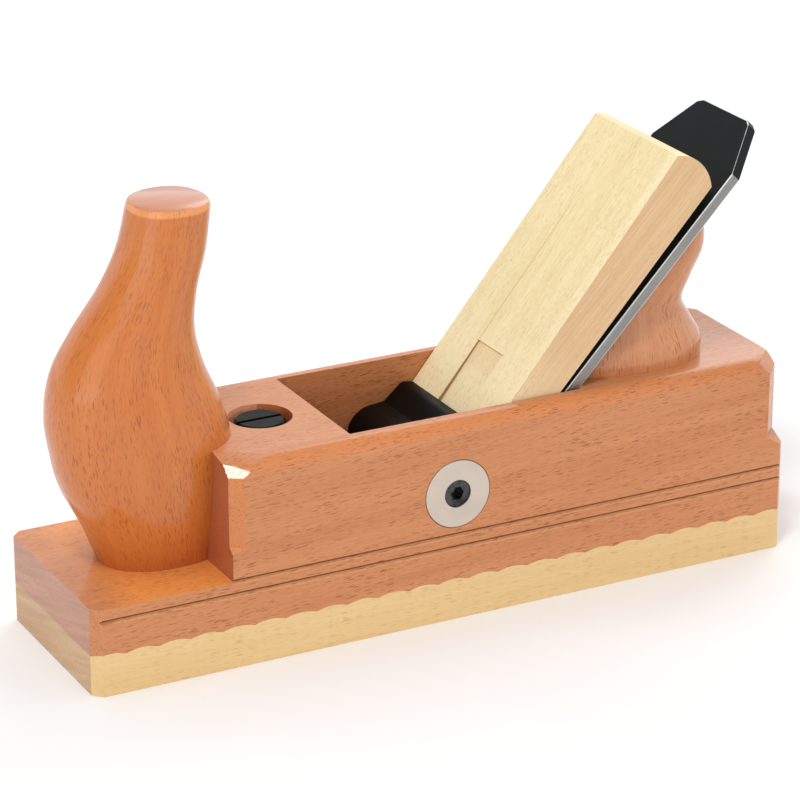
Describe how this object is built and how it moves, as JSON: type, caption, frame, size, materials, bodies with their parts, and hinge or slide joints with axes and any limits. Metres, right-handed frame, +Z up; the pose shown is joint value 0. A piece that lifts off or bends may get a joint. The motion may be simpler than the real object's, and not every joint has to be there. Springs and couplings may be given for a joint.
{
  "type": "hand plane",
  "caption": "Wooden smoothing plane with carved horn, palm rest, double iron, wedge on a rocking abutment and an adjustable mouth.",
  "frame": {"origin": "under the middle of the sole, on the sole's face", "axes": "+X from toe to heel, so the plane cuts towards -X; +Y across it to the right of a user who looks from heel to toe, away from the side seen in the picture; +Z up from the sole's face"},
  "size_m": [0.24, 0.0654, 0.14],
  "materials": {
    "beech": "steamed beech, clear lacquer, short dark flecks along the body",
    "horn_beech": "steamed beech with upright grain, warm glossy lacquer",
    "hornbeam": "pale hornbeam, oiled, satin",
    "wedge_wood": "pale bare wood, planed, matt",
    "black_steel": "black lacquered tool steel with ground edges",
    "black_casting": "gloss black enamel",
    "disc_metal": "fine satin nickel",
    "dark_screw": "oil-blackened steel",
    "bright_steel": "plain zinc",
    "brass": "turned brass"
  },
  "bodies": {
    "stock": {"body": "beech", "sole": "hornbeam", "horn": "horn_beech", "horn_screw": "bright_steel", "palm_rest": "horn_beech", "palm_rest_dowels": "beech", "cross_axle": "bright_steel", "side_disc_left": "disc_metal", "side_disc_right": "disc_metal", "socket_screw_left": "dark_screw", "socket_screw_right": "dark_screw"},
    "wedge": {"wedge": "wedge_wood"},
    "iron": {"plane_iron": "black_steel"},
    "cap": {"cap_iron": "black_steel", "cap_iron_boss": "brass"},
    "cap_screw": {"cap_iron_screw": "bright_steel"},
    "abutment": {"abutment": "black_casting"},
    "shoe": {"mouth_shoe": "hornbeam", "shoe_insert": "brass", "mouth_washer": "bright_steel"},
    "mouth_screw": {"mouth_screw": "dark_screw"}
  },
  "joints": [
    {"name": "wedge_slide", "type": "slide", "parent": "stock", "child": "wedge", "axis": [0.6884, 0, 0.7254], "range_m": [0, 0.06]},
    {"name": "iron_slide", "type": "slide", "parent": "stock", "child": "iron", "axis": [0.6884, 0, 0.7254], "range_m": [-0.0005, 0.002]},
    {"name": "cap_slide", "type": "slide", "parent": "iron", "child": "cap", "axis": [0.6884, 0, 0.7254], "range_m": [-0.0003, 0.002]},
    {"name": "cap_screw_turn", "type": "hinge", "parent": "cap", "child": "cap_screw", "pos_m": [0.02575, 0, 0.04062], "axis": [-0.7254, 0, 0.6884], "range_deg": [0, 360]},
    {"name": "abutment_rock", "type": "hinge", "parent": "stock", "child": "abutment", "pos_m": [0.0013, 0, 0.042], "axis": [0, -1, 0], "range_deg": [0, 20]},
    {"name": "shoe_slide", "type": "slide", "parent": "stock", "child": "shoe", "axis": [1, 0, 0], "range_m": [-0.0015, 0.0008]},
    {"name": "mouth_screw_turn", "type": "hinge", "parent": "shoe", "child": "mouth_screw", "pos_m": [-0.0498, 0, 0.061], "axis": [0, 0, 1], "range_deg": [0, 360]}
  ]
}
